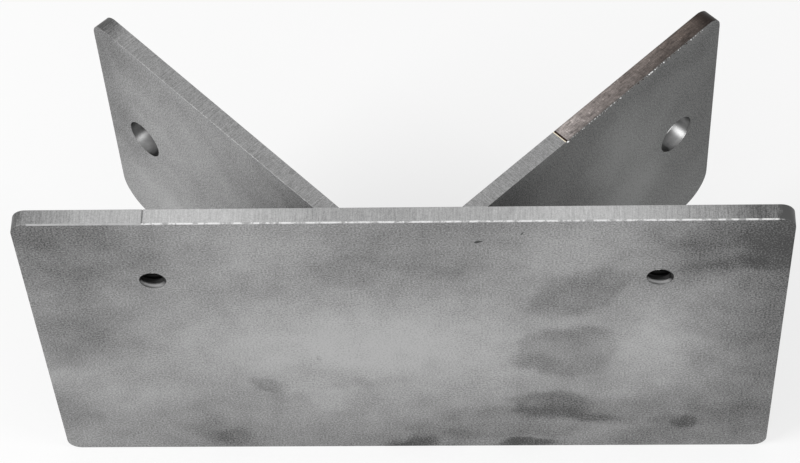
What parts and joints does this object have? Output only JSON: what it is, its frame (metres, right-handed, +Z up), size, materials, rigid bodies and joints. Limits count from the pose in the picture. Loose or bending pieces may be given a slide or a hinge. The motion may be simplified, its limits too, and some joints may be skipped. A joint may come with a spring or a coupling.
{
  "type": "welded steel V bracket",
  "caption": "Flat steel plate with tapped holes, backed by drilled wings that are welded on at 45 degrees to form a V-shaped seat.",
  "frame": {"origin": "midway between the two tapped holes, on the front surface of the face plate", "axes": "+X along the face plate towards the right wing, +Y back from the face plate towards the wing tips, +Z up towards the flush top edges"},
  "size_m": [0.2032, 0.071, 0.1143],
  "materials": {
    "sheet_steel": "matte grey, hot-rolled and pickled, with laser-cut edges",
    "weld_metal": "rippled weld bead, as welded"
  },
  "bodies": {
    "root": {"face_plate": "sheet_steel", "left_wing": "sheet_steel", "right_wing": "sheet_steel", "left_inner_weld": "weld_metal", "left_outer_weld": "weld_metal", "right_inner_weld": "weld_metal", "right_outer_weld": "weld_metal"}
  },
  "joints": []
}
